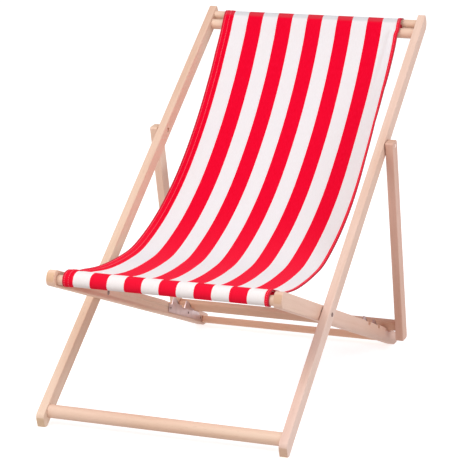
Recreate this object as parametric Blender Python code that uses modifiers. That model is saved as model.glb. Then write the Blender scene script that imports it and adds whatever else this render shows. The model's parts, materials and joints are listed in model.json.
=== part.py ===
"""Folding deck chair: a beech main frame, seat frame and prop frame that turn on two pairs of pivots,
with a striped canvas sling hung between two dowels.

Metres, +Z up, +Y to the back of the chair, +X to the sitter's left as seen from the front.
The origin is on the floor, at the middle of the chair's footprint in X and Y.
Each frame is drawn in its own upright plane, where Y runs along its rails and Z across them,
and is tilted by the empty that it hangs on.
"""

import math

import bmesh
import bpy
from mathutils import Matrix

# Rails, shared by the three frames
RAIL_THICK = 0.018
RAIL_EDGE = 0.0014
SIDE_GAP = 0.0016
FIT_GAP = 0.0003
SIDES = (("left", -1), ("right", 1))

# Main frame: Y from where its centre line would meet the feet, Z = 0 on the centre line
MAIN_OUTER = 0.2685
MAIN_DEPTH = 0.033
MAIN_TILT = math.radians(36.35)
MAIN_END = 1.2915
FOOT_FRONT = 0.0435
FOOT_REAR = 0.0334
FOOTPRINT_MIDDLE = 0.5424
MAIN_AXIS = (
    0.5 * MAIN_DEPTH * math.sin(MAIN_TILT) - FOOTPRINT_MIDDLE,
    -0.5 * MAIN_DEPTH * math.cos(MAIN_TILT),
)
FOOT_FRONT_RADIUS = 0.012
TOP_FRONT_RADIUS = 0.004
TOP_REAR_RADIUS = 0.018
SEAT_PIVOT_AT = 0.3906
PROP_PIVOT_AT = 0.8806
FOOT_BAR_AT = 0.070
FOOT_BAR_RADIUS = 0.014
TOP_BAR_AT = 1.2425
TOP_BAR_RADIUS = 0.012
TOP_DOWEL_AT = (1.2705, 0.004)
TOP_DOWEL_RADIUS = 0.010

# Seat frame: Y = 0 at its pivot, Z = 0 on the centre line
SEAT_OUTER = MAIN_OUTER - RAIL_THICK - SIDE_GAP
SEAT_DEPTH = 0.035
SEAT_UNDERSIDE = -0.0157
SEAT_TILT = math.radians(-19.12)
SEAT_FRONT = -0.288
SEAT_REAR = 0.645
SEAT_FRONT_RADIUS = 0.0145
SEAT_HEEL_RADIUS = 0.005
FRONT_DOWEL_AT = (-0.265, -0.0010)
FRONT_DOWEL_RADIUS = 0.0105
REAR_BAR_AT = (0.612, -0.0022)
REAR_BAR_SIZE = (0.018, 0.017)

# Rack of three notches in the seat rails. The prop bar rests in the last one, which is open behind.
NOTCH_COUNT = 3
NOTCH_PITCH = 0.0868
LAST_NOTCH_WALL = 0.5590
NOTCH_FLOOR = 0.0116
NOTCH_WIDTH = 0.018
NOTCH_LEAD = 0.006
NOTCH_LIP = 0.0158
WOOD_NOTCH_SHIFT = 0.006
WOOD_NOTCH_FLOOR = 0.0095
HEEL_TOP_FRONT = (0.575, 0.0104)
HEEL_TOP_REAR = (SEAT_REAR, 0.0085)
HEEL_TOP_RADIUS = 0.004

# Toothed steel plates on the inner faces of the seat rails
PLATE_THICK = 0.0015
PLATE_FRONT = 0.3705
PLATE_REAR = (0.602, 0.573)
PLATE_BOTTOM = -0.0070
PLATE_TOOTH = (
    (0.046, 0.0163, 0),
    (0.034, 0.0195, 0.006),
    (0.0225, 0.0292, 0.004),
    (0.0060, 0.0300, 0.003),
    (0.0020, 0.0200, 0),
)
NAIL_AT = ((0.380, 0.003), (0.501, 0.003), (0.5885, -0.0005))
NAIL_HEAD = (0.0032, 0.0010)
NAIL_SHANK = (0.0011, 0.0140)

# Prop frame: Y = 0 at its pivot and runs down the struts, Z = 0 on the centre line. The strut ends are cut almost
# level; each corner is its place along the strut and its radius.
PROP_INNER = MAIN_OUTER + SIDE_GAP
PROP_DEPTH = 0.035
PROP_TILT = math.radians(-73.8)
PROP_TOP_FRONT = (-0.0125, 0.004)
PROP_TOP_REAR = (-0.0070, 0.009)
PROP_BOTTOM_FRONT = (0.4950, 0.003)
PROP_BOTTOM_REAR = (0.5040, 0.006)
PROP_BAR_AT = 0.464
PROP_BAR_SIZE = (0.022, 0.018)
SQUARE_BAR_EDGE = 0.003

# Tenons that hold the fixed bars
TENON_RADIUS = 0.007
TENON_LENGTH = 0.012
DOWEL_SOCKET = 0.009

# Pivot bolts, their cap nuts and the washers between the rails
BOLT_RADIUS = 0.003
BOLT_CLEARANCE = 0.0004
BOLT_HEAD = (0.0048, 0.0022)
NUT_SLEEVE_RADIUS = 0.0044
NUT_WALL = 0.0015
NUT_COUNTERBORE = (0.0062, 0.0040)
BOLT_END_GAP = 0.001
WASHER_RADIUS = 0.008
WASHER_THICK = 0.0010

# Sling: the middle of the cloth, first in front of the top bars as (y, z) in the main frame,
# then down to the front dowel as (y, z) in the chair's frame
SLING_HALF_WIDTH = 0.2195
SLING_THICK = 0.0016
SLING_OVER_BARS = (
    (1.2748, 0.0138),
    (1.2700, 0.0188),
    (1.2640, 0.0208),
    (1.2560, 0.0202),
    (1.2460, 0.0168),
    (1.2380, 0.0134),
    (1.2300, 0.0098),
    (1.2212, 0.0050),
)
SLING_LINE = (
    (0.4351, 0.6920),
    (0.4016, 0.6420),
    (0.3671, 0.5970),
    (0.2887, 0.5129),
    (0.1771, 0.4195),
    (0.0975, 0.3683),
    (0.0059, 0.3239),
    (-0.1098, 0.2871),
    (-0.1839, 0.2805),
    (-0.2524, 0.2805),
    (-0.3183, 0.2855),
    (-0.3956, 0.3004),
    (-0.4240, 0.3105),
    (-0.4600, 0.3195),
)
SLING_STEPS = 6
TOP_SLEEVE_RADIUS = 0.0105
TOP_SLEEVE_OUTSIDE = 0.0121
FRONT_SLEEVE_RADIUS = 0.0112
FRONT_SLEEVE_AT = (-0.263, 0.001)
FRONT_SLEEVE_OUTSIDE = 0.0155

ARC_STEP = math.radians(15)
ROUND_STEPS = 32
SMALL_STEPS = 16
SMOOTH_ANGLE = math.radians(35)


def start_scene():
    """Empty the scene and make the collection of parts and the one of cutters."""
    for old in list(bpy.data.objects):
        bpy.data.objects.remove(old)
    made = []
    for name in ("folding_deck_chair", "cutters"):
        collection = bpy.data.collections.new(name)
        bpy.context.scene.collection.children.link(collection)
        made.append(collection)
    return made


PARTS, CUTTERS = start_scene()


def make_material(name, colour, roughness, metallic=0.0):
    material = bpy.data.materials.new(name)
    material.use_nodes = True
    shader = material.node_tree.nodes["Principled BSDF"]
    shader.inputs["Base Color"].default_value = (*colour, 1.0)
    shader.inputs["Roughness"].default_value = roughness
    shader.inputs["Metallic"].default_value = metallic
    return material


BEECH = make_material("beech", (0.84, 0.63, 0.46), 0.55)
STEEL = make_material("zinc_plated_steel", (0.60, 0.58, 0.56), 0.40, 0.9)
CANVAS = make_material("striped_canvas", (0.80, 0.05, 0.08), 0.90)


def add_part(name, mesh, frame, material, place=(0.0, 0.0, 0.0)):
    """Link a part's object and hang it on its frame's empty."""
    part = bpy.data.objects.new(name, mesh)
    PARTS.objects.link(part)
    part.parent = frame
    part.location = place
    mesh.materials.clear()
    mesh.materials.append(material)
    return part


def add_frame(name, y, z, tilt):
    """An empty on a frame's axis, tilted about X."""
    frame = bpy.data.objects.new(name, None)
    PARTS.objects.link(frame)
    frame.location = (0.0, y, z)
    frame.rotation_euler = (tilt, 0.0, 0.0)
    return frame


def in_frame(frame_y, frame_z, tilt, along, across):
    """Where a point (along, across) of a tilted frame lies in the chair's Y and Z."""
    return (
        frame_y + along * math.cos(tilt) - across * math.sin(tilt),
        frame_z + along * math.sin(tilt) + across * math.cos(tilt),
    )


def rounded_outline(corners):
    """Points of a closed outline from corners (y, z, radius), each radius turned into an arc."""
    points = []
    count = len(corners)
    for index, (y, z, radius) in enumerate(corners):
        if radius == 0:
            points.append((y, z))
            continue
        before, after = corners[index - 1], corners[(index + 1) % count]
        start = math.atan2(before[1] - z, before[0] - y)
        end = math.atan2(after[1] - z, after[0] - y)
        opening = (start - end) % (2 * math.pi)
        reach = radius / math.sin(opening / 2)
        middle = end + opening / 2
        centre_y = y + reach * math.cos(middle)
        centre_z = z + reach * math.sin(middle)
        turn = math.pi - opening
        steps = max(2, round(turn / ARC_STEP))
        first = start + math.pi / 2
        for step in range(steps + 1):
            angle = first + turn * step / steps
            points.append((centre_y + radius * math.cos(angle), centre_z + radius * math.sin(angle)))
    return points


def flat_mesh(name, outline, thickness):
    """A flat piece from a filled curve, standing in the Y-Z plane with its thickness along X."""
    curve = bpy.data.curves.new(name, "CURVE")
    curve.dimensions = "2D"
    curve.fill_mode = "BOTH"
    curve.extrude = thickness / 2
    spline = curve.splines.new("POLY")
    spline.points.add(len(outline) - 1)
    for point, (y, z) in zip(spline.points, outline):
        point.co = (y, z, 0.0, 1.0)
    spline.use_cyclic_u = True
    drawing = bpy.data.objects.new(name, curve)
    PARTS.objects.link(drawing)
    bpy.context.view_layer.update()
    seen = drawing.evaluated_get(bpy.context.evaluated_depsgraph_get())
    mesh = bpy.data.meshes.new_from_object(seen)
    bpy.data.objects.remove(drawing)
    upright = Matrix(((0, 0, 1, 0), (1, 0, 0, 0), (0, 1, 0, 0), (0, 0, 0, 1)))
    form = bmesh.new()
    form.from_mesh(mesh)
    bmesh.ops.transform(form, matrix=upright, verts=form.verts)
    bmesh.ops.remove_doubles(form, verts=form.verts, dist=0.00001)
    bmesh.ops.dissolve_limit(form, angle_limit=math.radians(0.1), verts=form.verts, edges=form.edges)
    bmesh.ops.recalc_face_normals(form, faces=form.faces)
    form.to_mesh(mesh)
    form.free()
    return mesh


def soften(part, width):
    """Ease the sharp edges of a part."""
    bevel = part.modifiers.new("eased_edges", "BEVEL")
    bevel.width = width
    bevel.segments = 2
    bevel.limit_method = "ANGLE"
    bevel.angle_limit = math.radians(40)


def combine(part, other, operation):
    boolean = part.modifiers.new(other.name, "BOOLEAN")
    boolean.operation = operation
    boolean.solver = "EXACT"
    boolean.object = other


def cylinder_tool(name, frame, radius, start_x, end_x, y, z, segments=ROUND_STEPS):
    """A hidden cylinder along X from start_x to end_x, used to cut or to join."""
    form = bmesh.new()
    bmesh.ops.create_cone(
        form,
        cap_ends=True,
        segments=segments,
        radius1=radius,
        radius2=radius,
        depth=abs(end_x - start_x),
        matrix=Matrix.Rotation(math.pi / 2, 4, "Y"),
    )
    mesh = bpy.data.meshes.new(name)
    form.to_mesh(mesh)
    form.free()
    return hide_tool(name, mesh, frame, ((start_x + end_x) / 2, y, z))


def hide_tool(name, mesh, frame, place):
    tool = bpy.data.objects.new(name, mesh)
    CUTTERS.objects.link(tool)
    tool.parent = frame
    tool.location = place
    tool.hide_render = True
    tool.display_type = "WIRE"
    return tool


def drill(part, frame, radius, start_x, end_x, at, segments=ROUND_STEPS):
    """Cut a round hole along X; at is (y, z) in the frame."""
    name = f"{part.name}_hole_{len(part.modifiers)}"
    combine(part, cylinder_tool(name, frame, radius, start_x, end_x, *at, segments), "DIFFERENCE")


def turned_mesh(name, profile, steps, closed=False):
    """The mesh that a Screw modifier turns: profile (radius, z) runs down the outer side."""
    mesh = bpy.data.meshes.new(name)
    edges = [(index, index + 1) for index in range(len(profile) - 1)]
    if closed:
        edges.append((len(profile) - 1, 0))
    mesh.from_pydata([(radius, 0.0, z) for radius, z in profile], edges, [])
    return mesh


def add_turned(name, profile, frame, material, place, side=1, steps=ROUND_STEPS, closed=False):
    """A turned part whose axis lies along X; its profile's top points to +X, or to -X for side -1."""
    part = add_part(name, turned_mesh(name, profile, steps, closed), frame, material, place)
    part.rotation_euler = (0.0, side * math.pi / 2, 0.0)
    screw = part.modifiers.new("turned", "SCREW")
    screw.steps = steps
    screw.render_steps = steps
    screw.use_merge_vertices = True
    screw.merge_threshold = 0.00001
    screw.use_smooth_shade = True
    return part


def dome(radius, height, steps=4):
    """Profile of a domed head from its tip to its rim at z = 0."""
    turns = [math.pi / 2 * (1 - step / steps) for step in range(steps + 1)]
    return [(radius * math.cos(turn), height * math.sin(turn)) for turn in turns]


def add_round_bar(name, frame, radius, inner, at):
    """A round bar between two rails, with a tenon turned on each end."""
    shoulder = inner - FIT_GAP
    tip = inner + TENON_LENGTH
    half = [(0.0, tip), (TENON_RADIUS, tip), (TENON_RADIUS, shoulder), (radius, shoulder)]
    profile = half + [(r, -z) for r, z in reversed(half)]
    return add_turned(name, profile, frame, BEECH, (0.0, *at))


def add_dowel(name, frame, radius, inner, at):
    """A plain dowel whose ends sit in blind sockets in two rails."""
    tip = inner + DOWEL_SOCKET - FIT_GAP
    ease = 0.001
    half = [(0.0, tip), (radius - ease, tip), (radius, tip - ease)]
    profile = half + [(r, -z) for r, z in reversed(half)]
    return add_turned(name, profile, frame, BEECH, (0.0, *at))


def add_square_bar(name, frame, size, inner, at):
    """A four-sided bar between two rails, with a round tenon on each end."""
    form = bmesh.new()
    bmesh.ops.create_cube(form, size=1.0)
    bmesh.ops.scale(form, vec=(2 * (inner - FIT_GAP), *size), verts=form.verts)
    mesh = bpy.data.meshes.new(name)
    form.to_mesh(mesh)
    form.free()
    bar = add_part(name, mesh, frame, BEECH, (0.0, *at))
    soften(bar, SQUARE_BAR_EDGE)
    tip = inner + TENON_LENGTH
    tenons = cylinder_tool(name + "_tenons", frame, TENON_RADIUS, -tip, tip, *at)
    combine(bar, tenons, "UNION")
    return bar


def drill_mortise(rail, frame, side, inner, at, radius=TENON_RADIUS, depth=TENON_LENGTH):
    """A blind hole in a rail's inner face, as wide as what it holds plus a fit gap."""
    start = side * (inner - 0.001)
    end = side * (inner + depth + FIT_GAP)
    drill(rail, frame, radius + FIT_GAP, start, end, at)


def cut_at_floor(part):
    """Flatten what reaches under the floor, so that the part stands on a true face."""
    combine(part, FLOOR, "DIFFERENCE")


def make_floor_tool():
    form = bmesh.new()
    bmesh.ops.create_cube(form, size=1.0)
    bmesh.ops.scale(form, vec=(1.0, 2.0, 0.1), verts=form.verts)
    mesh = bpy.data.meshes.new("floor_cut")
    form.to_mesh(mesh)
    form.free()
    return hide_tool("floor_cut", mesh, None, (0.0, 0.0, -0.05))


def main_rail(side_name, side):
    half = MAIN_DEPTH / 2
    outline = rounded_outline(
        (
            (FOOT_REAR, -half, 0),
            (MAIN_END, -half, TOP_REAR_RADIUS),
            (MAIN_END, half, TOP_FRONT_RADIUS),
            (FOOT_FRONT, half, FOOT_FRONT_RADIUS),
        )
    )
    name = f"main_rail_{side_name}"
    place = (side * (MAIN_OUTER - RAIL_THICK / 2), 0.0, 0.0)
    rail = add_part(name, flat_mesh(name, outline, RAIL_THICK), MAIN, BEECH, place)
    soften(rail, RAIL_EDGE)
    inner = MAIN_OUTER - RAIL_THICK
    beyond = side * (MAIN_OUTER + 0.001)
    before = side * (inner - 0.001)
    drill_mortise(rail, MAIN, side, inner, (FOOT_BAR_AT, 0.0))
    drill_mortise(rail, MAIN, side, inner, (TOP_BAR_AT, 0.0))
    drill_mortise(rail, MAIN, side, inner, TOP_DOWEL_AT, TOP_DOWEL_RADIUS, DOWEL_SOCKET)
    drill(rail, MAIN, BOLT_RADIUS + BOLT_CLEARANCE, before, beyond, (SEAT_PIVOT_AT, 0.0), SMALL_STEPS)
    drill(rail, MAIN, NUT_SLEEVE_RADIUS + BOLT_CLEARANCE, before, beyond, (PROP_PIVOT_AT, 0.0), SMALL_STEPS)
    recess_radius, recess_depth = NUT_COUNTERBORE
    drill(rail, MAIN, recess_radius, before, side * (inner + recess_depth), (PROP_PIVOT_AT, 0.0))
    cut_at_floor(rail)
    return rail


def rack_edge(wall_shift, floor, tooth=()):
    """Upper edge of the rack from back to front. tooth holds (distance behind the wall, height, radius) of the
    outline of each tooth behind the two free notches."""
    points = []
    top = SEAT_DEPTH / 2
    for number in reversed(range(NOTCH_COUNT)):
        wall = LAST_NOTCH_WALL - (NOTCH_COUNT - 1 - number) * NOTCH_PITCH
        front = wall - NOTCH_WIDTH
        if number < NOTCH_COUNT - 1:
            front += wall_shift
            if tooth:
                points += [(wall + back, height, radius) for back, height, radius in tooth]
            else:
                points.append((wall + wall_shift, top, 0))
        points.append((wall + wall_shift, floor, 0))
        points.append((front, floor, 0))
        points.append((front - NOTCH_LEAD, NOTCH_LIP, 0))
    return points


def seat_rail(side_name, side):
    half = SEAT_DEPTH / 2
    corners = [
        (SEAT_FRONT, SEAT_UNDERSIDE, SEAT_FRONT_RADIUS),
        (SEAT_REAR, SEAT_UNDERSIDE, SEAT_HEEL_RADIUS),
        (*HEEL_TOP_REAR, HEEL_TOP_RADIUS),
        (*HEEL_TOP_FRONT, 0),
    ]
    corners += rack_edge(WOOD_NOTCH_SHIFT, WOOD_NOTCH_FLOOR)
    first_wall = LAST_NOTCH_WALL - (NOTCH_COUNT - 1) * NOTCH_PITCH
    corners.append((first_wall - 0.045, half, 0))
    corners.append((SEAT_FRONT, half, SEAT_FRONT_RADIUS))
    name = f"seat_rail_{side_name}"
    place = (side * (SEAT_OUTER - RAIL_THICK / 2), 0.0, 0.0)
    rail = add_part(name, flat_mesh(name, rounded_outline(corners), RAIL_THICK), SEAT, BEECH, place)
    soften(rail, RAIL_EDGE)
    inner = SEAT_OUTER - RAIL_THICK
    drill_mortise(rail, SEAT, side, inner, REAR_BAR_AT)
    drill_mortise(rail, SEAT, side, inner, FRONT_DOWEL_AT, FRONT_DOWEL_RADIUS, DOWEL_SOCKET)
    hole = NUT_SLEEVE_RADIUS + BOLT_CLEARANCE
    drill(rail, SEAT, hole, side * (inner - 0.001), side * (SEAT_OUTER + 0.001), (0.0, 0.0), SMALL_STEPS)
    for at in NAIL_AT:
        drill_mortise(rail, SEAT, side, inner, at, *NAIL_SHANK)
    cut_at_floor(rail)
    return rail


def rack_plate(side_name, side):
    """A toothed plate nailed to the inner face of a seat rail."""
    rear_bottom, rear_top = PLATE_REAR
    corners = [(PLATE_FRONT, PLATE_BOTTOM, 0), (rear_bottom, PLATE_BOTTOM, 0), (rear_top, NOTCH_FLOOR - 0.0015, 0)]
    edge = rack_edge(0.0, NOTCH_FLOOR, PLATE_TOOTH)
    corners += edge[:-1]
    corners.append((PLATE_FRONT, NOTCH_LIP - 0.001, 0))
    name = f"rack_plate_{side_name}"
    inner = SEAT_OUTER - RAIL_THICK
    place = (side * (inner - FIT_GAP - PLATE_THICK / 2), 0.0, 0.0)
    plate = add_part(name, flat_mesh(name, rounded_outline(corners), PLATE_THICK), SEAT, STEEL, place)
    for at in NAIL_AT:
        radius = NAIL_SHANK[0] + FIT_GAP
        drill(plate, SEAT, radius, side * (inner + 0.001), side * (inner - 0.004), at, SMALL_STEPS)
    return plate


def rack_nails(side_name, side):
    face = SEAT_OUTER - RAIL_THICK - PLATE_THICK - 2 * FIT_GAP
    shank_radius, shank_length = NAIL_SHANK
    profile = dome(*NAIL_HEAD, 3) + [(shank_radius, 0.0), (shank_radius, -shank_length), (0.0, -shank_length)]
    for number, at in enumerate(NAIL_AT, 1):
        name = f"rack_nail_{side_name}_{number}"
        add_turned(name, profile, SEAT, STEEL, (side * face, *at), -side, 12)


def prop_strut(side_name, side):
    half = PROP_DEPTH / 2
    outline = rounded_outline(
        (
            (PROP_TOP_FRONT[0], -half, PROP_TOP_FRONT[1]),
            (PROP_BOTTOM_FRONT[0], -half, PROP_BOTTOM_FRONT[1]),
            (PROP_BOTTOM_REAR[0], half, PROP_BOTTOM_REAR[1]),
            (PROP_TOP_REAR[0], half, PROP_TOP_REAR[1]),
        )
    )
    name = f"prop_strut_{side_name}"
    place = (side * (PROP_INNER + RAIL_THICK / 2), 0.0, 0.0)
    strut = add_part(name, flat_mesh(name, outline, RAIL_THICK), PROP, BEECH, place)
    soften(strut, RAIL_EDGE)
    drill_mortise(strut, PROP, side, PROP_INNER, (PROP_BAR_AT, 0.0))
    before = side * (PROP_INNER - 0.001)
    beyond = side * (PROP_INNER + RAIL_THICK + 0.001)
    drill(strut, PROP, BOLT_RADIUS + BOLT_CLEARANCE, before, beyond, (0.0, 0.0), SMALL_STEPS)
    return strut


def pivot(name, side_name, side, bolt_frame, nut_frame, washer_at, bolt_face, nut_face, sleeve_end):
    """Bolt, cap nut and washer of one pivot. The faces and the sleeve's end are distances from the middle."""
    nut_height = BOLT_HEAD[1]
    bolt_end = nut_face + NUT_WALL + BOLT_END_GAP
    length = bolt_face - bolt_end
    bolt = dome(*BOLT_HEAD) + [(BOLT_RADIUS, 0.0), (BOLT_RADIUS, -length), (0.0, -length)]
    reach = sleeve_end - nut_face
    bore = BOLT_RADIUS + BOLT_CLEARANCE
    nut = dome(BOLT_HEAD[0] + 0.0006, nut_height - 0.0004)
    nut += [(NUT_SLEEVE_RADIUS, 0.0), (NUT_SLEEVE_RADIUS, -reach), (bore, -reach)]
    nut += [(bore, -NUT_WALL), (0.0, -NUT_WALL)]
    half = WASHER_THICK / 2
    ring = [(bore, half), (WASHER_RADIUS, half), (WASHER_RADIUS, -half), (bore, -half)]
    bolt_place = bolt_frame[1]
    nut_place = nut_frame[1]
    add_turned(
        f"{name}_bolt_{side_name}", bolt, bolt_frame[0], STEEL, (side * bolt_face, *bolt_place), side, SMALL_STEPS
    )
    add_turned(
        f"{name}_nut_{side_name}", nut, nut_frame[0], STEEL, (side * nut_face, *nut_place), -side, SMALL_STEPS
    )
    washer_frame, washer_x, washer_place = washer_at
    add_turned(
        f"{name}_washer_{side_name}",
        ring,
        washer_frame,
        STEEL,
        (side * washer_x, *washer_place),
        side,
        24,
        closed=True,
    )


def add_pivots(side_name, side):
    in_main = (SEAT_PIVOT_AT, 0.0)
    seat_inner = SEAT_OUTER - RAIL_THICK
    pivot(
        "seat_pivot",
        side_name,
        side,
        bolt_frame=(MAIN, in_main),
        nut_frame=(SEAT, (0.0, 0.0)),
        washer_at=(MAIN, SEAT_OUTER + SIDE_GAP / 2, in_main),
        bolt_face=MAIN_OUTER + FIT_GAP,
        nut_face=seat_inner - FIT_GAP,
        sleeve_end=SEAT_OUTER - 0.001,
    )
    at_prop = (PROP_PIVOT_AT, 0.0)
    main_inner = MAIN_OUTER - RAIL_THICK
    pivot(
        "prop_pivot",
        side_name,
        side,
        bolt_frame=(PROP, (0.0, 0.0)),
        nut_frame=(MAIN, at_prop),
        washer_at=(MAIN, MAIN_OUTER + SIDE_GAP / 2, at_prop),
        bolt_face=PROP_INNER + RAIL_THICK + FIT_GAP,
        nut_face=main_inner + NUT_COUNTERBORE[1] - FIT_GAP,
        sleeve_end=MAIN_OUTER - 0.001,
    )


def smooth_line(knots, steps):
    """Points of a Catmull-Rom curve through the knots."""
    ends = [tuple(2 * a - b for a, b in zip(knots[0], knots[1]))]
    ends += list(knots)
    ends.append(tuple(2 * a - b for a, b in zip(knots[-1], knots[-2])))
    points = []
    for p0, p1, p2, p3 in zip(ends, ends[1:], ends[2:], ends[3:]):
        for step in range(steps):
            t = step / steps
            points.append(
                tuple(
                    0.5 * (2 * b + (c - a) * t + (2 * a - 5 * b + 4 * c - d) * t**2 + (3 * b - a - 3 * c + d) * t**3)
                    for a, b, c, d in zip(p0, p1, p2, p3)
                )
            )
    points.append(knots[-1])
    return points


def band_outline(line, thickness):
    """A closed outline half the thickness away from a line on each side."""
    upper = []
    lower = []
    for index, (y, z) in enumerate(line):
        before = line[max(index - 1, 0)]
        after = line[min(index + 1, len(line) - 1)]
        run_y, run_z = after[0] - before[0], after[1] - before[1]
        length = math.hypot(run_y, run_z)
        off_y, off_z = -run_z / length * thickness / 2, run_y / length * thickness / 2
        upper.append((y + off_y, z + off_z))
        lower.append((y - off_y, z - off_z))
    return upper + lower[::-1]


def add_sling():
    """One plain sheet of cloth with a sleeve round each dowel."""
    over_bars = [in_frame(*MAIN_AXIS, MAIN_TILT, *point) for point in SLING_OVER_BARS]
    line = smooth_line(over_bars + list(SLING_LINE), SLING_STEPS)
    mesh = flat_mesh("sling", band_outline(line, SLING_THICK), 2 * SLING_HALF_WIDTH)
    sling = add_part("sling", mesh, None, CANVAS)
    half = SLING_HALF_WIDTH
    outsides = (
        ("top", MAIN, TOP_DOWEL_AT, TOP_SLEEVE_OUTSIDE),
        ("front", SEAT, FRONT_SLEEVE_AT, FRONT_SLEEVE_OUTSIDE),
    )
    bores = (
        ("top", MAIN, TOP_DOWEL_AT, TOP_SLEEVE_RADIUS),
        ("front", SEAT, FRONT_DOWEL_AT, FRONT_SLEEVE_RADIUS),
    )
    for name, frame, at, radius in outsides:
        outside = cylinder_tool(f"{name}_sleeve", frame, radius, -half, half, *at)
        combine(sling, outside, "UNION")
    for name, frame, at, radius in bores:
        bore = cylinder_tool(f"{name}_sleeve_bore", frame, radius, -half - 0.01, half + 0.01, *at)
        combine(sling, bore, "DIFFERENCE")
    return sling


def shade_parts():
    """Shade round faces smooth and keep the real edges sharp."""
    for part in PARTS.objects:
        if part.type == "MESH" and part.data.polygons:
            part.data.shade_smooth()
            part.data.set_sharp_from_angle(angle=SMOOTH_ANGLE)


SEAT_PIVOT = in_frame(*MAIN_AXIS, MAIN_TILT, SEAT_PIVOT_AT, 0.0)
PROP_PIVOT = in_frame(*MAIN_AXIS, MAIN_TILT, PROP_PIVOT_AT, 0.0)
MAIN = add_frame("main_frame", *MAIN_AXIS, MAIN_TILT)
SEAT = add_frame("seat_frame", *SEAT_PIVOT, SEAT_TILT)
PROP = add_frame("prop_frame", *PROP_PIVOT, PROP_TILT)
FLOOR = make_floor_tool()

for side_name, side in SIDES:
    main_rail(side_name, side)
    seat_rail(side_name, side)
    rack_plate(side_name, side)
    rack_nails(side_name, side)
    prop_strut(side_name, side)
    add_pivots(side_name, side)
add_round_bar("foot_bar", MAIN, FOOT_BAR_RADIUS, MAIN_OUTER - RAIL_THICK, (FOOT_BAR_AT, 0.0))
add_round_bar("top_bar", MAIN, TOP_BAR_RADIUS, MAIN_OUTER - RAIL_THICK, (TOP_BAR_AT, 0.0))
add_dowel("top_sling_dowel", MAIN, TOP_DOWEL_RADIUS, MAIN_OUTER - RAIL_THICK, TOP_DOWEL_AT)
add_dowel("front_sling_dowel", SEAT, FRONT_DOWEL_RADIUS, SEAT_OUTER - RAIL_THICK, FRONT_DOWEL_AT)
add_square_bar("seat_rear_bar", SEAT, REAR_BAR_SIZE, SEAT_OUTER - RAIL_THICK, REAR_BAR_AT)
add_square_bar("prop_bar", PROP, PROP_BAR_SIZE, PROP_INNER, (PROP_BAR_AT, 0.0))
add_sling()
shade_parts()
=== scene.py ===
"""Looks of the folding deck chair: beech frames, a striped canvas sling and zinc-plated rack plates."""

import json
import math

import bmesh
import bpy
import numpy as np
from mathutils import Matrix, Vector


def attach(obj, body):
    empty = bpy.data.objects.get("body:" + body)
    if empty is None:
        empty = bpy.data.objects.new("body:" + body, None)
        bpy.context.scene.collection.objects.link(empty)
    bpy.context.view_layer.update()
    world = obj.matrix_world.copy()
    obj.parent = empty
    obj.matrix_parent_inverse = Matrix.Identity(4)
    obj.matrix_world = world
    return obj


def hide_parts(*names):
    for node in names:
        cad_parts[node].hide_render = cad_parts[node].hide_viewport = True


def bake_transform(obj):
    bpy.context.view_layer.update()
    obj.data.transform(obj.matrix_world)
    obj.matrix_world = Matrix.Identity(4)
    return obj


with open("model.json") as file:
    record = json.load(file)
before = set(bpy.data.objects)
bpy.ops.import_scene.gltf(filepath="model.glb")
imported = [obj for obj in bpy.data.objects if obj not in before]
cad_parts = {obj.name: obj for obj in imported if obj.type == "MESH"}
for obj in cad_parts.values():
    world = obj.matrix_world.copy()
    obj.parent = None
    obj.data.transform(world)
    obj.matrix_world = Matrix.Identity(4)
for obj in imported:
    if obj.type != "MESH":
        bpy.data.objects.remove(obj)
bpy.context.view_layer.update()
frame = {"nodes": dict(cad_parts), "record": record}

# Frames, as in the CAD: each frame's tilt, and the point (y, z) that its distances start from
JOINTS = {joint["name"]: joint for joint in frame["record"]["behaviour"]["joints"]}
MAIN_TILT = math.radians(36.35)
MAIN_AXIS = (-0.53262, -0.01329)
SEAT_TILT = math.radians(-19.12)
SEAT_AXIS = tuple(JOINTS["seat_fold"]["pos_m"][1:])
PROP_TILT = math.radians(-73.8)

# Places (along, across) in a frame: the dowels, and the lug behind the seat rails' third notch
TOP_DOWEL = (1.2705, 0.004)
FRONT_DOWEL = (-0.265, -0.0010)
LUG_OUTLINE = (
    (0.5745, 0.0060),
    (0.6200, 0.0040),
    (0.6447, 0.0055),
    (0.6447, 0.0118),
    (0.6415, 0.0140),
    (0.6100, 0.0152),
    (0.5765, 0.0162),
    (0.5755, 0.0150),
)
LUG_SIDES = (0.23095, 0.24885)
LUG_ROUNDING = 0.0009

# Camera: sensor and lens in millimetres, place, and how far it turns, looks down and rolls, in degrees
SENSOR, LENS = 36.0, 151.35
CAMERA_PLACE = (1.3615, -3.8912, 1.2348)
CAMERA_TURN, CAMERA_DOWN, CAMERA_ROLL = 19.758, 12.355, 0.476

# Room: its colours above and below, and the heights where one turns into the other. A pale band round the
# horizon ends between two distances from its middle height. Heights are a direction's, from -1 to 1
ROOM_ABOVE = (0.66, 0.66, 0.67)
ROOM_BELOW = (0.60, 0.55, 0.54)
ROOM_MEETS = (-0.5, 0.7)
HORIZON = (1.0, 0.985, 0.98)
HORIZON_HEIGHT = 0.06
HORIZON_EDGE = (0.08, 0.13)

# Lights and floor
KEY_PLACE, KEY_SIZE, KEY_POWER = (-1.4, -2.8, 3.4), 2.4, 82.0
FILL_PLACE, FILL_SIZE, FILL_POWER = (3.4, -0.6, 2.4), 2.0, 48.0
FILL_COLOUR = (0.80, 0.90, 1.0)
LIGHT_TARGET = (0.0, 0.0, 0.35)
FLOOR_REACH, FLOOR_DROP = 30.0, 0.0005
FLOOR_GREY = (0.6, 0.6, 0.6)
FLOOR_GLOW = 0.70

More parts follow.
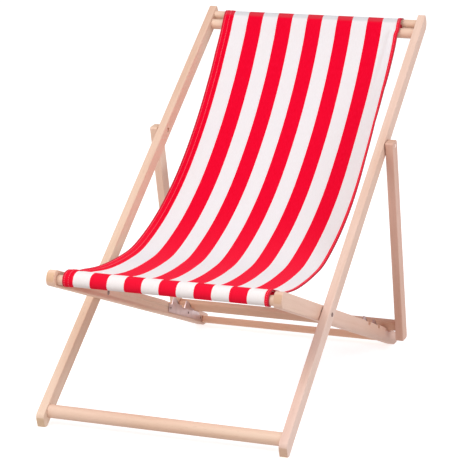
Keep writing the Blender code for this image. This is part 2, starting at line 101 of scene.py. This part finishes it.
# Sling: its edges and stripes are placed by the distance across the cloth from its middle
CLOTH_LEFT, CLOTH_RIGHT = -0.2200, 0.2192
CLOTH_REACH = 0.22
CLOTH_THICK = 0.0012
HEM_LEFT, HEM_RIGHT = 0.0190, 0.0092
STRIPE_START = -0.1950
STRIPE_END = 0.2096
STRIPE_PITCH = 0.0738
WHITE_WIDTH = 0.0368
WARP_PITCH, WEFT_PITCH = 0.0011, 0.0014
FINE_COLUMNS = 0.150
HEM_OFFSET = CLOTH_THICK - 0.0001
STITCH_ROWS = (CLOTH_LEFT + 0.0050, CLOTH_LEFT + 0.0150, CLOTH_RIGHT - 0.0055)

# Sling: distances along the cloth from its end in the top sleeve. They are the crest that gets painted shade,
# where painted sheen pales the red, where that painted sheen eases round the front sleeve, and where white
# goes from greyish to a little brighter
TOP_CREST = 0.0830
PAINTED_SHEEN_RUN = (0.62, 1.02)
SHEEN_EASE_RUN = (1.12, 1.17)
BRIGHTER_WHITE_RUN = (0.90, 1.14)

# Sling: steps between the knots of its line, the knot over the top bar where the open part starts, the
# distance between its rows, and the rows that the side hems reach
KNOT_STEPS = 12
BAR_KNOT = 5
ROW_SPACING = 0.0045
HEM_ROWS = slice(6, -8)

# Sling: radii of the cloth round the dowels
TOP_WRAP, FRONT_WRAP = 0.0112, 0.0113

# Colours. A tint is multiplied with the colour below it
WOOD_LIGHT = (0.84, 0.605, 0.455)
WOOD_DARK = (0.75, 0.485, 0.345)
WOOD_STREAK = (0.66, 0.42, 0.28)
WOOD_RAY = (0.52, 0.31, 0.20)
WOOD_BLUSH = (0.88, 0.62, 0.50)
WOOD_END = (0.60, 0.36, 0.19)
PLAIN = (1.0, 1.0, 1.0)
RED, RED_SLUB = (0.83, 0.0, 0.022), (0.88, 0.003, 0.033)
RED_WEAVE = (0.66, 0.0, 0.012)
# Painted sheen: the paler red that the seat part of the cloth takes
RED_PAINTED_SHEEN = (0.92, 0.0135, 0.045)
# Painted shade on the red of the crest over the top dowel
RED_CREST_SHADE = (0.62, 0.050, 0.067)
# Painted shade along the cloth's folded edges
RED_FOLD_SHADE = (0.46, 0.040, 0.060)
WHITE, WHITE_SLUB = (0.88, 0.84, 0.835), (0.91, 0.88, 0.88)
WHITE_WEAVE = (0.66, 0.62, 0.62)
WHITE_CLOUD = (0.86, 0.83, 0.86)
# Painted shade on the white of the crest over the top dowel
WHITE_CREST_SHADE = (0.62, 0.61, 0.62)
# Tints that leave white a little greyish over the open cloth and a little brighter round the front sleeve
GREYISH_TINT, BRIGHTER_WHITE_TINT = (0.947, 0.937, 0.945), (1.03, 1.0, 0.98)
THREAD, THREAD_LIGHT = (0.95, 0.10, 0.16), (1.0, 0.22, 0.28)
ZINC = (0.66, 0.52, 0.52)
DARK_METAL = (0.30, 0.20, 0.18)
BROWN_METAL = (0.86, 0.66, 0.58)


# ---------------------------------------------------------------- helpers
def point_in(axis, tilt, along, across):
    """Where a point (along, across) of a tilted frame lies in the chair's Y and Z."""
    return (
        axis[0] + along * math.cos(tilt) - across * math.sin(tilt),
        axis[1] + along * math.sin(tilt) + across * math.cos(tilt),
    )


def on_main(along, across):
    """A place on the main frame, as (y, z)."""
    return point_in(MAIN_AXIS, MAIN_TILT, along, across)


def on_seat(along, across):
    """A place on the seat frame, as (y, z)."""
    return point_in(SEAT_AXIS, SEAT_TILT, along, across)


def link(name, data):
    """A new object in the scene."""
    thing = bpy.data.objects.new(name, data)
    bpy.context.scene.collection.objects.link(thing)
    return thing


def mesh_from(name, form):
    """A mesh from a finished bmesh, with its faces turned outward."""
    bmesh.ops.recalc_face_normals(form, faces=form.faces)
    mesh = bpy.data.meshes.new(name)
    form.to_mesh(mesh)
    form.free()
    return mesh


def apply_modifiers(thing):
    """Bakes a piece's modifiers into its mesh."""
    bpy.context.view_layer.update()
    graph = bpy.context.evaluated_depsgraph_get()
    seen = thing.evaluated_get(graph)
    mesh = bpy.data.meshes.new_from_object(seen, preserve_all_data_layers=True, depsgraph=graph)
    thing.modifiers.clear()
    thing.data = mesh


# ---------------------------------------------------------------- node trees
class Nodes:
    """Short ways to add nodes to a tree. A value is a number, a colour or another node's socket."""

    def __init__(self, tree):
        self.tree = tree

    def node(self, kind, inputs=None, **settings):
        node = self.tree.nodes.new(kind)
        for key, value in settings.items():
            setattr(node, key, value)
        for key, value in (inputs or {}).items():
            self.plug(value, node.inputs[key])
        return node

    def plug(self, value, socket):
        if isinstance(value, bpy.types.NodeSocket):
            self.tree.links.new(value, socket)
        elif isinstance(value, tuple) and socket.type == "RGBA":
            socket.default_value = (*value[:3], 1.0)
        else:
            socket.default_value = value

    def math(self, operation, a, b=0.0):
        return self.node("ShaderNodeMath", {0: a, 1: b}, operation=operation).outputs[0]

    def times(self, a, b):
        return self.math("MULTIPLY", a, b)

    def mix(self, factor, a, b, blend="MIX"):
        node = self.node("ShaderNodeMix", data_type="RGBA", blend_type=blend)
        self.plug(factor, node.inputs[0])
        self.plug(a, node.inputs[6])
        self.plug(b, node.inputs[7])
        return node.outputs[2]

    def ramp(self, value, low, high):
        """0 below low and 1 above high, smoothly."""
        return self.node(
            "ShaderNodeMapRange", {0: value, 1: low, 2: high, 3: 0.0, 4: 1.0}, interpolation_type="SMOOTHSTEP"
        ).outputs[0]

    def near(self, value, centre, inside, outside):
        """1 up to the distance inside from the centre and 0 beyond outside, smoothly."""
        away = self.math("ABSOLUTE", self.math("SUBTRACT", value, centre))
        return self.math("SUBTRACT", 1.0, self.ramp(away, inside, outside))

    def noise(self, vector, scale, detail=3.0, roughness=0.5):
        return self.node(
            "ShaderNodeTexNoise", {"Vector": vector, "Scale": scale, "Detail": detail, "Roughness": roughness}
        ).outputs["Fac"]

    def stretch(self, vector, scale, turn=(0.0, 0.0, 0.0), shift=(0.0, 0.0, 0.0)):
        return self.node(
            "ShaderNodeMapping", {"Vector": vector, "Location": shift, "Rotation": turn, "Scale": scale}
        ).outputs[0]

    def bump(self, height, distance, strength=1.0, normal=None):
        inputs = {"Height": height, "Distance": distance, "Strength": strength}
        if normal is not None:
            inputs["Normal"] = normal
        return self.node("ShaderNodeBump", inputs).outputs[0]


class Shade(Nodes):
    """A material under construction."""

    def __init__(self, name):
        self.material = bpy.data.materials.new(name)
        self.material.use_nodes = True
        super().__init__(self.material.node_tree)

    def surface(self, inputs):
        """Sets or connects the shader's inputs, and gives the finished material."""
        shader = self.tree.nodes["Principled BSDF"]
        for key, value in inputs.items():
            self.plug(value, shader.inputs[key])
        return self.material


# ---------------------------------------------------------------- camera and light
def add_camera():
    """A long lens, from the right and a little above."""
    data = bpy.data.cameras.new("camera")
    data.sensor_width = SENSOR
    data.lens = LENS
    data.clip_end = 50.0
    camera = link("camera", data)
    turn = (
        Matrix.Rotation(math.radians(CAMERA_TURN), 4, "Z")
        @ Matrix.Rotation(math.radians(90.0 - CAMERA_DOWN), 4, "X")
        @ Matrix.Rotation(math.radians(CAMERA_ROLL), 4, "Z")
    )
    camera.matrix_world = Matrix.Translation(CAMERA_PLACE) @ turn
    bpy.context.scene.camera = camera


def area_light(name, place, size, power, colour=PLAIN):
    """A square soft light that faces the chair."""
    data = bpy.data.lights.new(name, "AREA")
    data.shape = "RECTANGLE"
    data.size = data.size_y = size
    data.energy = power
    data.color = colour
    light = link(name, data)
    light.location = place
    light.rotation_euler = (Vector(LIGHT_TARGET) - Vector(place)).to_track_quat("-Z", "Y").to_euler()


def add_room():
    """A white room, darker and warmer below, with a pale band where it meets the floor."""
    world = bpy.data.worlds.new("studio")
    bpy.context.scene.world = world
    world.use_nodes = True
    nodes = Nodes(world.node_tree)
    background = world.node_tree.nodes["Background"]
    background.inputs["Strength"].default_value = 1.0
    place = nodes.node("ShaderNodeTexCoord").outputs["Generated"]
    height = nodes.node("ShaderNodeSeparateXYZ", {0: place}).outputs["Z"]
    room = nodes.mix(nodes.ramp(height, *ROOM_MEETS), ROOM_BELOW, ROOM_ABOVE)
    away = nodes.math("ABSOLUTE", nodes.math("SUBTRACT", height, HORIZON_HEIGHT))
    nodes.plug(nodes.mix(nodes.ramp(away, *HORIZON_EDGE), HORIZON, room), background.inputs["Color"])


def add_floor():
    """A pale floor that takes soft shadows and throws no light back on the chair."""
    corners = [(x * FLOOR_REACH, y * FLOOR_REACH, 0.0) for x, y in ((-1, -1), (1, -1), (1, 1), (-1, 1))]
    mesh = bpy.data.meshes.new("floor")
    mesh.from_pydata(corners, [], [(0, 1, 2, 3)])
    floor = link("floor", mesh)
    floor.location.z = -FLOOR_DROP
    floor.visible_diffuse = False
    shade = Shade("floor_white")
    mesh.materials.append(
        shade.surface(
            {
                "Base Color": FLOOR_GREY,
                "Roughness": 0.9,
                "Specular IOR Level": 0.1,
                "Emission Color": PLAIN,
                "Emission Strength": FLOOR_GLOW,
            }
        )
    )


def add_studio():
    """The room, a key light from the left above, a cooler fill from the right, and the floor."""
    bpy.context.scene.view_settings.view_transform = "Standard"
    add_room()
    area_light("key", KEY_PLACE, KEY_SIZE, KEY_POWER)
    area_light("right_fill", FILL_PLACE, FILL_SIZE, FILL_POWER, FILL_COLOUR)
    add_floor()


# ---------------------------------------------------------------- materials
def make_beech(name, tilt=None, seed=0.0, foot=PLAIN, head=PLAIN, end_dark=0.60):
    """Steamed beech: long soft figure, fine rays and darker end grain. tilt is the rail's, or None for a
    cross bar. foot and head tint the wood towards the rail's two ends."""
    shade = Shade(name)
    coordinates = shade.node("ShaderNodeTexCoord").outputs
    turn = (0.0, 0.0, math.pi / 2) if tilt is None else (-tilt, 0.0, 0.0)
    along = shade.stretch(coordinates["Object"], (1.0, 1.0, 1.0), turn, (seed, 0, 0))
    facing = shade.stretch(coordinates["Normal"], (1.0, 1.0, 1.0), turn)
    figure = shade.noise(shade.stretch(along, (26.0, 1.6, 26.0)), 1.0, 4.0, 0.55)
    streaks = shade.noise(shade.stretch(along, (150.0, 5.0, 150.0)), 1.0, 3.0, 0.6)
    pores = shade.noise(shade.stretch(along, (900.0, 60.0, 900.0)), 1.0, 2.0, 0.5)
    rays = shade.ramp(pores, 0.60, 0.72)
    drift = shade.noise(along, 5.0, 2.0)
    colour = shade.mix(shade.ramp(figure, 0.30, 0.72), WOOD_LIGHT, WOOD_DARK)
    colour = shade.mix(shade.times(shade.ramp(streaks, 0.45, 0.75), 0.28), colour, WOOD_STREAK)
    colour = shade.mix(shade.times(rays, 0.30), colour, WOOD_RAY)
    colour = shade.mix(shade.times(shade.ramp(drift, 0.35, 0.70), 0.35), colour, WOOD_BLUSH)
    end = shade.math("ABSOLUTE", shade.node("ShaderNodeSeparateXYZ", {0: facing}).outputs["Y"])
    colour = shade.mix(shade.times(shade.ramp(end, 0.75, 0.95), end_dark), colour, WOOD_END)
    run = shade.node("ShaderNodeSeparateXYZ", {0: along}).outputs["Y"]
    colour = shade.mix(1.0, colour, shade.mix(shade.ramp(run, -0.30, 0.60), foot, head), "MULTIPLY")
    grain = shade.bump(streaks, 0.0003, 0.35)
    return shade.surface(
        {
            "Base Color": colour,
            "Roughness": shade.math("ADD", 0.46, shade.times(streaks, 0.18)),
            "Specular IOR Level": 0.42,
            "Normal": shade.bump(rays, -0.0001, 0.4, grain),
        }
    )


def make_canvas():
    """Woven cotton stripes, from the cloth's own width and length in the UV layer."""
    shade = Shade("striped_canvas")
    cloth = shade.node("ShaderNodeUVMap", uv_map="cloth").outputs[0]
    split = shade.node("ShaderNodeSeparateXYZ", {0: cloth})
    across, along = split.outputs["X"], split.outputs["Y"]

    # Where the stripes are, with slightly ragged edges
    threads = shade.noise(shade.stretch(cloth, (3000.0, 300.0, 1.0)), 1.0, 1.0)
    ragged = shade.math("ADD", across, shade.times(shade.math("SUBTRACT", threads, 0.5), 0.0006))
    place = shade.math("DIVIDE", shade.math("SUBTRACT", ragged, STRIPE_START), STRIPE_PITCH)
    stripe = shade.math("LESS_THAN", shade.math("FRACT", place), WHITE_WIDTH / STRIPE_PITCH)
    after = shade.math("GREATER_THAN", place, 0.0)
    before = shade.math("LESS_THAN", ragged, STRIPE_END)
    white = shade.times(stripe, shade.times(after, before))

    # Weave, thicker threads and soft clouds
    warp = shade.math("SINE", shade.times(across, 2 * math.pi / WARP_PITCH))
    weft = shade.math("SINE", shade.times(along, 2 * math.pi / WEFT_PITCH))
    weave = shade.times(warp, weft)
    crossing = shade.times(shade.ramp(weave, 0.2, 1.0), 0.14)
    slubs = shade.noise(shade.stretch(cloth, (900.0, 90.0, 1.0)), 1.0, 2.0)
    thicker = shade.ramp(slubs, 0.35, 0.75)
    clouds = shade.ramp(shade.noise(cloth, 9.0, 3.0), 0.40, 0.75)

    # Painted sheen pales the red towards the seat, less so round the front sleeve; white brightens towards
    # the front sleeve
    red = shade.mix(crossing, shade.mix(thicker, RED, RED_SLUB), RED_WEAVE)
    sleeve = shade.times(shade.ramp(along, *SHEEN_EASE_RUN), 0.55)
    red = shade.mix(shade.math("SUBTRACT", shade.ramp(along, *PAINTED_SHEEN_RUN), sleeve), red, RED_PAINTED_SHEEN)
    pale = shade.mix(crossing, shade.mix(thicker, WHITE, WHITE_SLUB), WHITE_WEAVE)
    pale = shade.mix(shade.times(clouds, 0.30), pale, WHITE_CLOUD)
    tint = shade.mix(shade.ramp(along, *BRIGHTER_WHITE_RUN), GREYISH_TINT, BRIGHTER_WHITE_TINT)
    pale = shade.mix(1.0, pale, tint, "MULTIPLY")
    stripes = shade.mix(white, red, pale)

    # Painted shade where the cloth bends over the top dowel, and painted shade along its folded edges
    crest = shade.near(along, TOP_CREST, 0.006, 0.014)
    stripes = shade.mix(shade.times(crest, 0.7), stripes, shade.mix(white, RED_CREST_SHADE, WHITE_CREST_SHADE))
    middle, half_width = (CLOTH_LEFT + CLOTH_RIGHT) / 2, (CLOTH_RIGHT - CLOTH_LEFT) / 2
    from_middle = shade.math("ABSOLUTE", shade.math("SUBTRACT", across, middle))
    # Painted shade along both folded edges
    fold = shade.ramp(from_middle, half_width - 0.0040, half_width - 0.0008)
    stripes = shade.mix(shade.times(fold, 0.85), stripes, RED_FOLD_SHADE)
    return shade.surface(
        {
            "Base Color": stripes,
            "Roughness": 0.92,
            "Specular IOR Level": 0.04,
            "Sheen Weight": 0.01,
            "Sheen Roughness": 0.5,
            "Normal": shade.bump(slubs, 0.0002, 0.4, shade.bump(weave, 0.00018, 0.55)),
        }
    )


def make_thread():
    """Twisted red sewing thread."""
    shade = Shade("red_thread")
    twist = shade.noise(shade.node("ShaderNodeTexCoord").outputs["Object"], 1800.0, 1.0)
    colour = shade.mix(twist, THREAD, THREAD_LIGHT)
    return shade.surface({"Base Color": colour, "Roughness": 0.6, "Normal": shade.bump(twist, 0.0001, 0.5)})


def make_steel(name, base, roughness):
    """Plated steel with a faint spangle and cloudy wear."""
    shade = Shade(name)
    coordinates = shade.node("ShaderNodeTexCoord").outputs["Object"]
    spangle = shade.node("ShaderNodeTexVoronoi", {"Vector": coordinates, "Scale": 260.0}).outputs["Color"]
    grey = shade.node("ShaderNodeRGBToBW", {0: spangle}).outputs[0]
    cloud = shade.noise(coordinates, 60.0, 3.0)
    colour = shade.mix(shade.times(grey, 0.5), base, tuple(0.82 * c for c in base))
    colour = shade.mix(shade.times(shade.ramp(cloud, 0.45, 0.8), 0.5), colour, tuple(0.7 * c for c in base))
    return shade.surface(
        {
            "Base Color": colour,
            "Roughness": shade.math("ADD", roughness, shade.times(cloud, 0.18)),
            "Metallic": 0.85,
            "Normal": shade.bump(cloud, 0.0001, 0.3),
        }
    )


# ---------------------------------------------------------------- sling
def smooth_line(knots, steps):
    """Points of a centripetal Catmull-Rom curve through the knots."""
    knots = [np.array(knot, float) for knot in knots]
    ends = [2 * knots[0] - knots[1], *knots, 2 * knots[-1] - knots[-2]]
    points = []
    for p0, p1, p2, p3 in zip(ends, ends[1:], ends[2:], ends[3:]):
        t1 = np.linalg.norm(p1 - p0) ** 0.5
        t2 = t1 + np.linalg.norm(p2 - p1) ** 0.5
        t3 = t2 + np.linalg.norm(p3 - p2) ** 0.5
        for t in np.linspace(t1, t2, steps, endpoint=False):
            a1 = (t1 - t) / t1 * p0 + t / t1 * p1
            a2 = (t2 - t) / (t2 - t1) * p1 + (t - t1) / (t2 - t1) * p2
            a3 = (t3 - t) / (t3 - t2) * p2 + (t - t2) / (t3 - t2) * p3
            b1 = (t2 - t) / t2 * a1 + t / t2 * a2
            b2 = (t3 - t) / (t3 - t1) * a2 + (t - t1) / (t3 - t1) * a3
            points.append((t2 - t) / (t2 - t1) * b1 + (t - t1) / (t2 - t1) * b2)
    points.append(knots[-1])
    return np.array(points)


def arc(place, centre, radius, degrees):
    """Points round a dowel, where place is on_main or on_seat."""
    turns = [math.radians(degree) for degree in degrees]
    return [place(centre[0] + radius * math.cos(turn), centre[1] + radius * math.sin(turn)) for turn in turns]


def sling_path():
    """The cloth's middle line (y, z), evenly spaced, from its end in the top sleeve to its end in the front
    sleeve. Also gives the distances of its points along it, and those where the open part starts and ends."""
    top = [on_main(1.2445, 0.0148), on_main(1.2515, 0.0128)]
    top += arc(on_main, TOP_DOWEL, TOP_WRAP, range(150, 391, 15))
    over_bar = [
        on_main(1.2748, 0.0150),
        on_main(1.2700, 0.0192),
        on_main(1.2640, 0.0210),
        on_main(1.2560, 0.0203),
        on_main(1.2460, 0.0169),
        on_main(1.2380, 0.0135),
        on_main(1.2300, 0.0098),
        on_main(1.2212, 0.0050),
    ]
    seat = [
        (0.4351, 0.6920),
        (0.4016, 0.6420),
        (0.3671, 0.5970),
        (0.2887, 0.5129),
        (0.1771, 0.4195),
        (0.0975, 0.3683),
        (0.0059, 0.3239),
        (-0.1098, 0.2871),
        (-0.1839, 0.2805),
        (-0.2524, 0.2805),
        (-0.3183, 0.2855),
        on_seat(-0.1947, 0.0195),
        on_seat(-0.2250, 0.0205),
    ]
    # Over the front dowel and back under it, as places from its axis
    over = ((0.0250, 0.0208), (0.0130, 0.0208), (0.0030, 0.0183), (-0.0050, 0.0140), (-0.0102, 0.0075))
    back = ((0.0130, 0.0030), (0.0155, 0.0105), (0.0215, 0.0163), (0.0300, 0.0190), (0.0420, 0.0191))
    front = [on_seat(FRONT_DOWEL[0] + s, FRONT_DOWEL[1] + h) for s, h in over]
    front += arc(on_seat, FRONT_DOWEL, FRONT_WRAP, range(180, 331, 15))
    front += [on_seat(FRONT_DOWEL[0] + s, FRONT_DOWEL[1] + h) for s, h in back]
    line = smooth_line(top + over_bar + seat + front, KNOT_STEPS)
    gone = np.concatenate(([0.0], np.cumsum(np.linalg.norm(np.diff(line, axis=0), axis=1))))
    even = np.linspace(0.0, gone[-1], round(gone[-1] / ROW_SPACING) + 1)
    path = np.column_stack([np.interp(even, gone, line[:, axis]) for axis in (0, 1)])
    opens = gone[KNOT_STEPS * (len(top) + BAR_KNOT)]
    closes = gone[KNOT_STEPS * (len(top) + len(over_bar) + len(seat) - 1)]
    return path, even, opens, closes


def edge_lift(u, t):
    """How far the cloth rises towards its edges, which are tighter than its middle. u is the distance across
    the cloth. t is 0 at the top bar and 1 where the front sleeve starts."""
    places = (-0.01, 0.08, 0.16, 0.25, 0.35, 0.50, 0.60, 0.70, 0.80, 0.90, 0.95, 1.00, 1.04)
    left = (0.0, 0.0110, 0.0125, 0.0110, 0.0085, 0.0075, 0.0075, 0.0095, 0.0105, 0.0110, 0.0100, 0.0040, 0.0)
    right = (0.0, 0.0125, 0.0200, 0.0230, 0.0200, 0.0125, 0.0095, 0.0070, 0.0045, 0.0015, 0.0005, 0.0, 0.0)
    # The right edge itself curls up a little more
    curl = (0.0, 0.0010, 0.0035, 0.0048, 0.0050, 0.0045, 0.0040, 0.0035, 0.0030, 0.0020, 0.0010, 0.0, 0.0)
    leftward = np.clip(-u / CLOTH_REACH, 0.0, 1.0)
    rightward = np.clip(u / CLOTH_REACH, 0.0, 1.0)
    return (
        np.interp(t, places, left) * leftward**2.6
        + np.interp(t, places, right) * rightward**4.0
        + np.interp(t, places, curl) * rightward**28
    )


def ripple(u, t):
    """A pucker that runs down from the top bar near the right edge, and small waves elsewhere."""
    # How far a point lies to the right of the pucker, which drifts left on its way down
    beside = u - 0.2015 + 0.09 * t
    fade = np.clip(t / 0.015 + 0.3, 0.0, 1.0) * np.exp(-5.0 * t) * np.clip((1.0 - t) * 4.0, 0.0, 1.0)
    ridge = 0.0052 * np.exp(-((beside / 0.007) ** 2))
    hollow = 0.0030 * np.exp(-(((beside + 0.013) / 0.009) ** 2))
    waves = 0.0006 * np.sin(34.0 * u + 5.0 * t) * np.sin(math.pi * np.clip(t, 0.0, 1.0))
    return (ridge - hollow) * fade + waves


def sling_surface(u, distance, data):
    """Points of the cloth's middle surface at (u, distance), with the surface's upward normals. The cloth
    keeps its width, so it draws in where it rises. It also draws in a little at two corners, on the right of
    the top sleeve and on the left of the front sleeve."""
    path, even, opens, closes = data

    def on_path(places):
        return np.interp(places, even, path[:, 0]), np.interp(places, even, path[:, 1])

    y, z = on_path(distance)
    step = 0.003
    (ahead_y, ahead_z), (behind_y, behind_z) = on_path(distance + step), on_path(distance - step)
    run_y, run_z = ahead_y - behind_y, ahead_z - behind_z
    length = np.hypot(run_y, run_z)
    normal_y, normal_z = run_z / length, -run_y / length
    t = (distance - opens) / (closes - opens)
    x = np.zeros_like(u)
    before = edge_lift(x, t) + ripple(x, t)
    steps = 40
    for number in range(1, steps + 1):
        lift = edge_lift(u * number / steps, t) + ripple(u * number / steps, t)
        x += np.sign(u) * np.sqrt(np.maximum((u / steps) ** 2 - (lift - before) ** 2, 0.0))
        before = lift
    x -= 0.0022 * np.clip((0.01 - t) / 0.02, 0.0, 1.0) * np.clip(u / CLOTH_REACH, 0.0, 1.0) ** 6
    x += 0.0025 * np.clip((t - 0.9) / 0.12, 0.0, 1.0) * np.clip((-0.1955 - u) / 0.0245, 0.0, 1.0)
    points = np.stack([x, y + normal_y * lift, z + normal_z * lift], axis=-1)
    normals = np.stack([np.zeros_like(normal_y), normal_y, normal_z], axis=-1)
    return points, normals


def cloth_strip(name, across, lengths, data, offset, thickness, material):
    """A strip of cloth over the given places across and along it, offset from the middle surface."""
    grid_u, grid_v = np.meshgrid(across, lengths)
    points, normals = sling_surface(grid_u.ravel(), grid_v.ravel(), data)
    points = points + normals * offset
    columns = len(across)
    corners = [row * columns + column for row in range(len(lengths) - 1) for column in range(columns - 1)]
    faces = [(corner, corner + 1, corner + columns + 1, corner + columns) for corner in corners]
    mesh = bpy.data.meshes.new(name)
    mesh.from_pydata([tuple(point) for point in points], [], faces)
    layer = mesh.uv_layers.new(name="cloth")
    flat = np.column_stack([grid_u.ravel(), grid_v.ravel()])
    loops = np.empty(len(mesh.loops), int)
    mesh.loops.foreach_get("vertex_index", loops)
    layer.data.foreach_set("uv", flat[loops].ravel().astype(np.float32))
    strip = link(name, mesh)
    mesh.materials.append(material)
    thick = strip.modifiers.new("thickness", "SOLIDIFY")
    thick.thickness = thickness
    thick.offset = 0.0
    apply_modifiers(strip)
    strip.data.shade_smooth()
    strip.data.set_sharp_from_angle(angle=math.radians(50))
    return strip


def stitch_line(form, u, start, end, data, lift):
    """Small rounded stitches laid along the cloth at distance u across it."""
    pitch, half, wide, high = 0.0042, 0.00160, 0.00058, 0.00040
    places = np.arange(start + pitch, end - pitch, pitch)
    centres, normals = sling_surface(np.full_like(places, u), places, data)
    tips, _ = sling_surface(np.full_like(places, u), places + half, data)
    for centre, normal, tip in zip(centres, normals, tips):
        run = tip - centre
        side = np.cross(run, normal)
        side = side / np.linalg.norm(side) * wide
        base = centre + normal * lift
        rings = []
        for along, scale in ((-1.0, 0.35), (-0.6, 1.0), (0.6, 1.0), (1.0, 0.35)):
            middle = base + run * along
            corners = (middle - side * scale, middle + normal * high * scale, middle + side * scale)
            rings.append([form.verts.new(corner) for corner in corners])
        for first, second in zip(rings, rings[1:]):
            for a, b in ((0, 1), (1, 2), (2, 0)):
                form.faces.new((first[a], first[b], second[b], second[a]))
        form.faces.new(rings[0][::-1])
        form.faces.new(rings[-1])


def add_stitches(name, start, end, data, material):
    """Every row of stitches, on both sides of the cloth, as one piece."""
    above, below = 1.5 * CLOTH_THICK, -0.5 * CLOTH_THICK - 0.0002
    form = bmesh.new()
    for u in STITCH_ROWS:
        for lift in (above, below):
            stitch_line(form, u, start, end, data, lift)
    mesh = mesh_from(name, form)
    mesh.materials.append(material)
    mesh.shade_smooth()
    return link(name, mesh)


def add_sling():
    """The striped sheet with its two side hems and their stitches."""
    data = sling_path()
    even = data[1]
    canvas = make_canvas()
    thread = make_thread()
    across = np.concatenate(
        [
            np.linspace(CLOTH_LEFT, CLOTH_LEFT + HEM_LEFT, 6),
            np.linspace(CLOTH_LEFT + HEM_LEFT, FINE_COLUMNS, 34)[1:],
            np.linspace(FINE_COLUMNS, CLOTH_RIGHT, 14)[1:],
        ]
    )
    sheet = cloth_strip("sling_canvas", across, even, data, 0.0, CLOTH_THICK, canvas)
    hemmed = even[HEM_ROWS]
    hems = [
        cloth_strip(name, np.linspace(low, high, 6), hemmed, data, HEM_OFFSET, CLOTH_THICK, canvas)
        for name, low, high in (
            ("sling_hem_left", CLOTH_LEFT, CLOTH_LEFT + HEM_LEFT),
            ("sling_hem_right", CLOTH_RIGHT - HEM_RIGHT, CLOTH_RIGHT),
        )
    ]
    stitches = add_stitches("sling_stitches", hemmed[0], hemmed[-1], data, thread)
    for piece in (sheet, *hems, stitches):
        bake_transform(piece)
    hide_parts("sling")


# ---------------------------------------------------------------- carried-over CAD parts
def frame_materials():
    """Beech for each rail, strut and bar, each with its own figure and tint, and the metals. The right
    strut's darker tint is painted shade; the other tints shift a piece's colour, some more at one end.
    """
    rear_bar, prop_bar = (1.05, 0.93, 0.85), (0.84, 0.72, 0.66)
    return {
        "main_left": make_beech("beech_main_left", MAIN_TILT, 0.0, (1.04, 1.12, 1.13), (0.92, 0.87, 0.86)),
        "main_right": make_beech("beech_main_right", MAIN_TILT, 3.1, (1.0, 1.03, 1.14), (0.98, 0.98, 1.04)),
        "seat_left": make_beech("beech_seat_left", SEAT_TILT, 5.7, (1.10, 1.09, 1.08), (0.94, 0.87, 0.90)),
        "seat_right": make_beech("beech_seat_right", SEAT_TILT, 8.3, (1.0, 0.96, 0.99), (0.90, 0.80, 0.84)),
        "prop_left": make_beech("beech_prop_left", PROP_TILT, 11.9, end_dark=0.25),
        # Painted shade: the right strut is tinted darker than the left one
        "prop_right": make_beech(
            "beech_prop_right", PROP_TILT, 14.2, (0.88, 0.76, 0.78), (0.92, 0.84, 0.86), end_dark=0.25
        ),
        "bar": make_beech("beech_bar", None, 0.0),
        "rear_bar": make_beech("beech_rear_bar", None, 4.9, rear_bar, rear_bar),
        "prop_bar": make_beech("beech_prop_bar", None, 2.7, prop_bar, prop_bar),
        "dowel": make_beech("beech_dowel", None, 6.4),
        "plate": make_steel("zinc_plate", ZINC, 0.26),
        "fixing": make_steel("dark_fixings", DARK_METAL, 0.45),
        "prop_fixing": make_steel("brown_fixings", BROWN_METAL, 0.60),
    }


def material_key(name):
    """Which of the materials a CAD node takes."""
    family = name.split("_")[0]
    if "rail" in name or "strut" in name:
        return f"{family}_left" if "left" in name else f"{family}_right"
    if "dowel" in name:
        return "dowel"
    if "bar" in name:
        return {"prop_bar": "prop_bar", "seat_rear_bar": "rear_bar"}.get(name, "bar")
    if "plate" in name:
        return "plate"
    return "prop_fixing" if family == "prop" else "fixing"


def make_lug(side):
    """The block that stands behind a seat rail's third notch."""
    form = bmesh.new()
    near, far = ([form.verts.new((side * x, *on_seat(*point))) for point in LUG_OUTLINE] for x in LUG_SIDES)
    form.faces.new(near)
    form.faces.new(far)
    for index, corner in enumerate(near):
        after = (index + 1) % len(LUG_OUTLINE)
        form.faces.new((corner, near[after], far[after], far[index]))
    bmesh.ops.recalc_face_normals(form, faces=form.faces)
    flat_edges = [edge for edge in form.edges if len({round(vert.co.x, 4) for vert in edge.verts}) == 1]
    bmesh.ops.bevel(form, geom=flat_edges, offset=LUG_ROUNDING, segments=2, affect="EDGES")
    return link("lug_tool", mesh_from("lug", form))


def with_lug(node, side):
    """A copy of a seat rail joined with its lug. In the CAD the lug would block the prop bar's way out."""
    rail = node.copy()
    rail.data = node.data.copy()
    rail.name = f"{node.name}_with_lug"
    bpy.context.scene.collection.objects.link(rail)
    lug = make_lug(side)
    union = rail.modifiers.new("lug", "BOOLEAN")
    union.operation = "UNION"
    union.solver = "EXACT"
    union.object = lug
    apply_modifiers(rail)
    bpy.data.objects.remove(lug)
    rail.data.shade_smooth()
    rail.data.set_sharp_from_angle(angle=math.radians(35))
    return rail


def add_frames():
    """Materials for the CAD nodes, and the two seat rails with their lugs in place of the CAD's."""
    materials = frame_materials()
    for side_name, side in (("left", -1), ("right", 1)):
        node = frame["nodes"][f"seat_rail_{side_name}"]
        rail = with_lug(node, side)
        rail.data.materials.clear()
        rail.data.materials.append(materials[f"seat_{side_name}"])
        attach(rail, "seat_frame")
        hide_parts(node.name)
    for name, node in frame["nodes"].items():
        if name == "sling":
            continue
        for slot in node.material_slots:
            slot.material = materials[material_key(name)]


add_camera()
add_studio()
add_frames()
add_sling()
